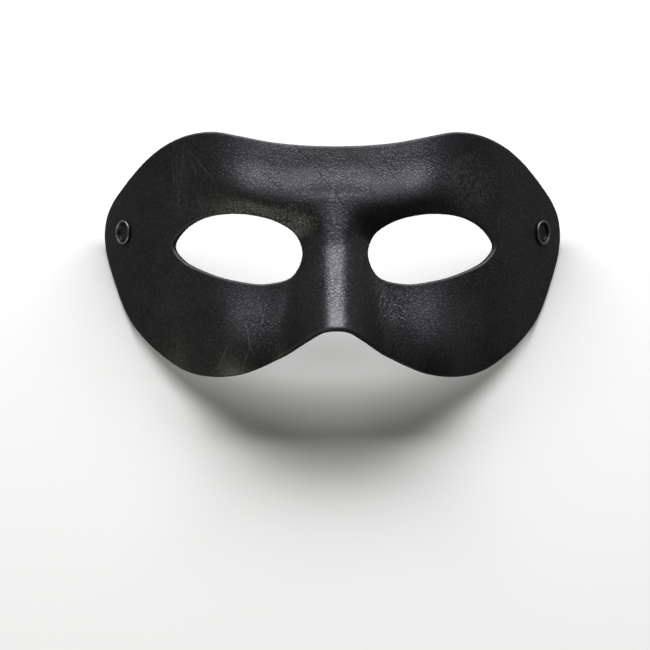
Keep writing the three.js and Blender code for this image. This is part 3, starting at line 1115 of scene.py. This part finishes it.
@dataclass(frozen=True)
class Grain:
    """One kind of grain: its cells' width, the depth of the valleys between them and their painted shade.

    A depth below 0 makes the valleys stand up as ridges, and a shade below 0 gives them a painted highlight.
    """

    cell: float
    valley: float
    warp: float
    depth: float
    shade: float
    stretch: float = 1.0

    def layer(self, bench: NodeBench, flat: Socket) -> tuple[Socket, Socket]:
        """Adds the grain's node group.

        Args:
            bench: Bench on the material's nodes.
            flat: The flat leather's coordinates in metres.

        Returns:
            Its height, from 0 to about 1, and a mask that is 1 in its valleys.
        """
        sizes = {"Cell": self.cell, "Stretch": self.stretch, "Valley": self.valley, "Warp": self.warp}
        group = bench.group(PEBBLE_GROUP, Vector=flat, **sizes)
        return group.outputs["Height"], group.outputs["Low"]


@dataclass(frozen=True)
class LeatherFinish:
    """Black leather: fine pebble, crackled and wrinkled patches, long creases and ridges, and rough blotches.

    Valleys lose their gloss through Metallic, with a nearly black colour, because the export keeps that
    socket and drops a varying specular level. Valleys and creases get painted shade through Metallic, which
    with the nearly black colour takes away their reflection.
    """

    colour: Colour = (0.0052, 0.0051, 0.0052)
    # Lighter colour of the blotches; valleys and creases keep the darker colour as painted shade
    blotch_and_valley_shade_colour: Colour = (0.0080, 0.0077, 0.0076)
    # Lighter colour painted on ridges as a highlight
    ridge_highlight_colour: Colour = (0.040, 0.039, 0.038)
    specular_level: float = 0.62
    # How much painted shade Metallic puts into valleys and creases
    valley_shade_strength: float = 0.80
    roughness: float = 0.42
    roughness_spread: float = 0.10
    pebble: Grain = Grain(cell=0.00128, valley=0.27, warp=1.4, depth=0.000042, shade=0.42, stretch=1.30)
    crackle: Grain = Grain(cell=0.0015, valley=0.13, warp=1.5, depth=0.000050, shade=0.56)
    wrinkle: Grain = Grain(cell=0.00105, valley=0.22, warp=1.3, depth=-0.000105, shade=-0.60, stretch=3.4)
    crease_depth: float = 0.000026
    crease_shade: float = 0.50
    crease_waver: float = 1.6
    ragged_scale: float = 330.0
    ragged_spread: float = 0.9
    ragged_range: tuple[float, float] = (0.1, 0.7)
    uneven_scale: float = 55.0
    uneven_noise: tuple[float, float] = (0.35, 0.65)
    uneven_range: tuple[float, float] = (0.40, 1.30)
    blotch_scale: float = 70.0
    blotch_noise: tuple[float, float] = (0.3, 0.7)

    def relief(self, bench: NodeBench, flat: Socket) -> tuple[Socket, Socket]:
        """Height of the grain, in metres, and the painted shade in each place, added up from the layers.

        Args:
            bench: Bench on the material's nodes.
            flat: The flat leather's coordinates in metres.

        Returns:
            The height, and painted shade that is 1 deep in a crack and 0 on a dome, and a painted highlight
            below 0.
        """
        pebble_height, pebble_low = self.pebble.layer(bench, flat)
        noise = bench.noise(flat, self.uneven_scale, 3.0)
        uneven = bench.ramp(noise, *self.uneven_noise, *self.uneven_range)
        height = bench.math("MULTIPLY", bench.math("MULTIPLY", pebble_height, self.pebble.depth), uneven)
        low = bench.math("MULTIPLY", pebble_low, self.pebble.shade)
        wear = bench.add("ShaderNodeSeparateXYZ", Vector=bench.attribute(WEAR)).outputs
        noise = bench.noise(flat, self.ragged_scale)
        ragged = bench.math("MULTIPLY_ADD", noise, self.ragged_spread, -self.ragged_spread / 2.0)
        for worn, grain in ((wear["X"], self.crackle), (wear["Y"], self.wrinkle)):
            edge = bench.ramp(bench.math("ADD", worn, ragged), *self.ragged_range)
            share = bench.math("MULTIPLY", worn, edge)
            layer_height, layer_low = grain.layer(bench, flat)
            raised = bench.math("MULTIPLY", layer_height, share)
            layer_shade = bench.math("MULTIPLY", layer_low, share)
            height = bench.math("MULTIPLY_ADD", raised, grain.depth, height)
            low = bench.math("MULTIPLY_ADD", layer_shade, grain.shade, low)
        for name in CREASES:
            line = bench.attribute(name)
            group = bench.group(CREASE_GROUP, Flat=flat, Crease=line, Waver=self.crease_waver)
            crease = group.outputs["Depth"]
            height = bench.math("MULTIPLY_ADD", crease, -self.crease_depth, height)
            low = bench.math("MULTIPLY_ADD", crease, self.crease_shade, low)
        return height, bench.math("MINIMUM", low, 1.0)

    def build(self, name: str) -> bpy.types.Material:
        """Builds the material.

        Args:
            name: Name of the material.

        Returns:
            The material.
        """
        material, bench, shader = new_material(name)
        uv = bench.tree.nodes.new("ShaderNodeUVMap")
        uv.uv_map = FLAT_LEATHER
        centred = bench.vector("SUBTRACT", uv.outputs[0], (0.5, 0.5, 0.0)).outputs[0]
        flat = bench.vector("MULTIPLY", centred, (FLAT_UNIT, FLAT_UNIT, FLAT_UNIT)).outputs[0]
        height, low = self.relief(bench, flat)
        blotch = bench.noise(flat, self.blotch_scale, 4.0, 0.6)
        # Blotches of a lighter colour, a random tone, kept out of valleys and creases, whose darker colour is
        # painted shade.
        raised = bench.math("SUBTRACT", 1.0, low)
        worn = bench.math("MULTIPLY", raised, bench.ramp(blotch, *self.blotch_noise))
        skin = bench.mix_colour(worn, self.colour, self.blotch_and_valley_shade_colour)
        # Painted highlight: where the shade mask is below 0, on ridges, the colour turns lighter.
        ridge = bench.math("MAXIMUM", bench.math("MULTIPLY", low, -1.0), 0.0)
        bench.feed(shader.inputs["Base Color"], bench.mix_colour(ridge, skin, self.ridge_highlight_colour))
        # Painted shade: Metallic with the nearly black colour takes the reflection out of valleys and
        # creases.
        painted_valley_shade = bench.math("MULTIPLY", bench.math("MAXIMUM", low, 0.0), self.valley_shade_strength)
        bench.feed(shader.inputs["Metallic"], painted_valley_shade)
        bench.feed(shader.inputs["Specular IOR Level"], self.specular_level)
        least = self.roughness - self.roughness_spread / 2.0
        roughness = bench.math("MULTIPLY_ADD", blotch, self.roughness_spread, least)
        bench.feed(shader.inputs["Roughness"], roughness)
        bench.bump(shader, height)
        return material


@dataclass(frozen=True)
class FibreFinish:
    """Painted fibres: a cut edge or a napped backing, with short strands of two tones and a rough relief."""

    dark: Colour
    light: Colour
    roughness: float
    strand: float
    thickness: float
    depth: float
    sheen: float = 0.0
    roughness_spread: float = 0.15
    tone_range: tuple[float, float] = (0.5, 0.78)

    def build(self, name: str) -> bpy.types.Material:
        """Builds the material on Object coordinates, the strands being noise stretched three ways.

        Args:
            name: Name of the material.

        Returns:
            The material.
        """
        material, bench, shader = new_material(name)
        place = bench.tree.nodes.new("ShaderNodeTexCoord").outputs["Object"]
        long, thin = 1.0 / self.strand, 1.0 / self.thickness
        layers = [
            bench.noise(bench.vector("MULTIPLY", place, stretch).outputs[0], 1.0, roughness=0.6)
            for stretch in ((long, thin, thin), (thin, long, thin), (thin, thin, long))
        ]
        fibres = bench.math("MAXIMUM", bench.math("MAXIMUM", layers[0], layers[1]), layers[2])
        tone = bench.ramp(fibres, *self.tone_range)
        roughness = bench.math("MULTIPLY_ADD", tone, self.roughness_spread, self.roughness)
        bench.feed(shader.inputs["Base Color"], bench.mix_colour(tone, self.dark, self.light))
        bench.feed(shader.inputs["Roughness"], roughness)
        bench.feed(shader.inputs["Sheen Weight"], self.sheen)
        bench.bump(shader, bench.math("MULTIPLY", fibres, self.depth))
        return material


@dataclass(frozen=True)
class EnamelFinish:
    """Black enamel on metal, rubbed through along the crest of the ring, with fine specks."""

    enamel: Colour = (0.012, 0.012, 0.013)
    rubbed: Colour = (0.30, 0.30, 0.31)
    metallic: float = 0.9
    roughness: float = 0.42
    roughness_spread: float = 0.12
    speck_scale: float = 5200.0
    haze_scale: float = 700.0
    haze_depth: float = 0.00002
    worn_noise: tuple[float, float] = (0.7, 1.1)
    worn_range: tuple[float, float] = (0.6, 1.0)

    def build(self, name: str) -> bpy.types.Material:
        """Builds the material on Object coordinates.

        Args:
            name: Name of the material.

        Returns:
            The material.
        """
        material, bench, shader = new_material(name)
        place = bench.tree.nodes.new("ShaderNodeTexCoord").outputs["Object"]
        specks = bench.noise(place, self.speck_scale, 3.0, 0.6)
        haze = bench.noise(place, self.haze_scale, 3.0)
        crest = bench.add("ShaderNodeSeparateXYZ", Vector=bench.attribute(RUBBED)).outputs["X"]
        patchy = bench.ramp(bench.math("ADD", specks, haze), *self.worn_noise, *self.worn_range)
        worn = bench.math("MULTIPLY", crest, patchy)
        least = self.roughness - self.roughness_spread / 2.0
        bench.feed(shader.inputs["Base Color"], bench.mix_colour(worn, self.enamel, self.rubbed))
        bench.feed(shader.inputs["Metallic"], self.metallic)
        bench.feed(shader.inputs["Roughness"], bench.math("MULTIPLY_ADD", haze, self.roughness_spread, least))
        bench.bump(shader, bench.math("MULTIPLY", haze, self.haze_depth))
        return material


@dataclass(frozen=True)
class FloorFinish:
    """A matt pale floor with faint mottling, darker in glossy rays so that the leather hardly mirrors it."""

    colour: Colour = (0.530, 0.528, 0.478)
    mottling: float = 0.006
    mottle_scale: float = 9.0
    mirrored_share: float = 0.125
    roughness: float = 0.9
    specular_level: float = 0.1

    def build(self, name: str) -> bpy.types.Material:
        """Builds the material.

        Args:
            name: Name of the material.

        Returns:
            The material.
        """
        material, bench, shader = new_material(name)
        place = bench.tree.nodes.new("ShaderNodeTexCoord").outputs["Object"]
        mottle = bench.noise(place, self.mottle_scale, 3.0)
        light, dark = (tuple(c + step for c in self.colour) for step in (self.mottling, -self.mottling))
        mirrored = tuple(c * self.mirrored_share for c in self.colour)
        glossy = bench.tree.nodes.new("ShaderNodeLightPath").outputs["Is Glossy Ray"]
        seen = bench.mix_colour(mottle, dark, light)
        bench.feed(shader.inputs["Base Color"], bench.mix_colour(glossy, seen, mirrored))
        bench.feed(shader.inputs["Roughness"], self.roughness)
        bench.feed(shader.inputs["Specular IOR Level"], self.specular_level)
        return material


@dataclass(frozen=True)
class Softbox:
    """A rectangular light, placed by directions from a point just behind the mask's front."""

    name: str
    tilt: float
    turn: float
    distance: float
    width: float
    height: float
    power: float
    colour: Colour = (1.0, 1.0, 1.0)
    aim_depth: float = 0.02

    def build(self, seat: Matrix) -> bpy.types.Object:
        """Hangs the light: tilt is its angle above the viewing axis and turn its angle to the viewer's right.

        Args:
            seat: Turn and shift from the wearer's frame to the row frame.

        Returns:
            The light.
        """
        tilt, turn = math.radians(self.tilt), math.radians(self.turn)
        towards = Vector((math.cos(tilt) * math.sin(turn), math.sin(tilt), math.cos(tilt) * math.cos(turn)))
        towards = seat.to_3x3() @ towards
        lamp = bpy.data.lights.new(self.name, "AREA")
        lamp.shape = "RECTANGLE"
        lamp.size, lamp.size_y = self.width, self.height
        lamp.energy = self.power
        lamp.color = self.colour
        light = bpy.data.objects.new(self.name, lamp)
        light.location = seat @ Vector((0.0, 0.0, -self.aim_depth)) + towards * self.distance
        light.rotation_mode = "QUATERNION"
        light.rotation_quaternion = towards.to_track_quat("Z", "Y")
        bpy.context.scene.collection.objects.link(light)
        return light


@dataclass(frozen=True)
class Studio:
    """Camera, lights, pale floor and plain surroundings."""

    camera_distance: float = 1.1000
    camera_side: float = -0.0037
    camera_up: float = -0.0282
    camera_turn: float = 0.8
    lens: float = 166.15
    sensor: float = 36.0
    floor_half: float = 6.0
    floor_finish: FloorFinish = FloorFinish()
    surroundings: float = 0.030
    softboxes: tuple[Softbox, ...] = (
        Softbox("top_softbox", 72.0, 3.0, 1.3, 2.2, 0.8, 63.0, (0.96, 0.965, 1.07)),
        Softbox("left_window", 50.0, -68.0, 1.3, 0.6, 0.7, 1.0),
        Softbox("left_fill", -42.0, -57.0, 1.3, 1.3, 0.5, 12.5, (1.0, 0.98, 0.82)),
        Softbox("right_side", 10.0, 97.0, 1.2, 0.5, 0.9, 0.8),
    )

    def build(self, seat: Matrix) -> None:
        """Sets the whole studio up.

        Args:
            seat: Turn and shift from the wearer's frame to the row frame.
        """
        self.camera(seat)
        for softbox in self.softboxes:
            softbox.build(seat)
        self.floor()
        self.world()
        bpy.context.scene.view_settings.view_transform = "Standard"

    def camera(self, seat: Matrix) -> None:
        """Places the camera in front of the face, turned a little round it, as in the photograph.

        Args:
            seat: Turn and shift from the wearer's frame to the row frame.
        """
        data = bpy.data.cameras.new("camera")
        data.lens, data.sensor_width = self.lens, self.sensor
        data.clip_start, data.clip_end = 0.01, 50.0
        camera = bpy.data.objects.new("camera", data)
        bpy.context.scene.collection.objects.link(camera)
        turned = Matrix.Rotation(-math.radians(self.camera_turn), 4, "Y")
        stand = Matrix.Translation((self.camera_side, self.camera_up, self.camera_distance))
        camera.matrix_world = seat @ turned @ stand
        bpy.context.scene.camera = camera

    def floor(self) -> None:
        """Lays a plain pale floor under the mask."""
        h = self.floor_half
        mesh = bpy.data.meshes.new("floor")
        mesh.from_pydata([(-h, -h, 0.0), (h, -h, 0.0), (h, h, 0.0), (-h, h, 0.0)], [], [(0, 1, 2, 3)])
        floor = bpy.data.objects.new("floor", mesh)
        bpy.context.scene.collection.objects.link(floor)
        mesh.materials.append(self.floor_finish.build("pale_floor"))

    def world(self) -> None:
        """Gives the surroundings one even grey."""
        world = bpy.data.worlds.new("surroundings")
        world.use_nodes = True
        grey = self.surroundings
        world.node_tree.nodes["Background"].inputs[0].default_value = (grey, grey, grey, 1.0)
        bpy.context.scene.world = world


def seat_from_frame(shell: Shell) -> Matrix:
    """Turn and shift that lay the wearer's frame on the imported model.

    The lean is read off a mount's axis, which points into the leather and would lie level in the wearer's
    frame. The shift puts the shell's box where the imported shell's box is.

    Args:
        shell: The leather.

    Returns:
        The matrix from the wearer's frame to the row frame.
    """
    axis = frame["record"]["mounts"][0]["axis"]
    lean = Matrix.Rotation(math.atan2(axis[1], -axis[2]), 4, "X")
    half = seated(np.vstack(shell.half().points), lean)
    low, high = half.min(axis=0), half.max(axis=0)
    cad_low, cad_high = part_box("mask_shell")
    shift = Vector((0.0, (cad_low.y + cad_high.y - low[1] - high[1]) / 2.0, cad_low.z - low[2]))
    return Matrix.Translation(shift) @ lean


def main() -> None:
    """Builds the mask and its studio, and reports each piece."""
    logging.basicConfig(level=logging.INFO, format="%(name)s: %(message)s")
    shell = Shell()
    seat = seat_from_frame(shell)
    pebble_group()
    crease_group()
    cut_edge = FibreFinish(
        dark=(0.006, 0.006, 0.006), light=(0.022, 0.021, 0.020), roughness=0.55, strand=0.0016,
        thickness=0.00018, depth=0.00005,
    )
    backing = FibreFinish(
        dark=(0.007, 0.007, 0.008), light=(0.024, 0.024, 0.026), roughness=0.80, strand=0.0030,
        thickness=0.00016, depth=0.00008, sheen=0.25,
    )
    leather = shell.build("mask_leather", seat, LeatherWear())
    finishes = {Face.FRONT: LeatherFinish(), Face.EDGE: cut_edge, Face.BACK: backing}
    names = {Face.FRONT: "black_leather", Face.EDGE: "cut_edge", Face.BACK: "backing"}
    for face in Face:
        leather.data.materials.append(finishes[face].build(names[face]))
    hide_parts("mask_shell")
    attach(leather, BODY)
    log.info("%s: %d faces", leather.name, len(leather.data.polygons))
    enamel = EnamelFinish().build("black_enamel")
    for name, hand in (("eyelet_left", -1), ("eyelet_right", 1)):
        eyelet = Eyelet().build(f"{name}_rolled", shell, hand, seat)
        eyelet.data.materials.append(enamel)
        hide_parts(name)
        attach(eyelet, BODY)
        log.info("%s: %d faces", eyelet.name, len(eyelet.data.polygons))
    Studio().build(seat)


if __name__ == "__main__":
    main()
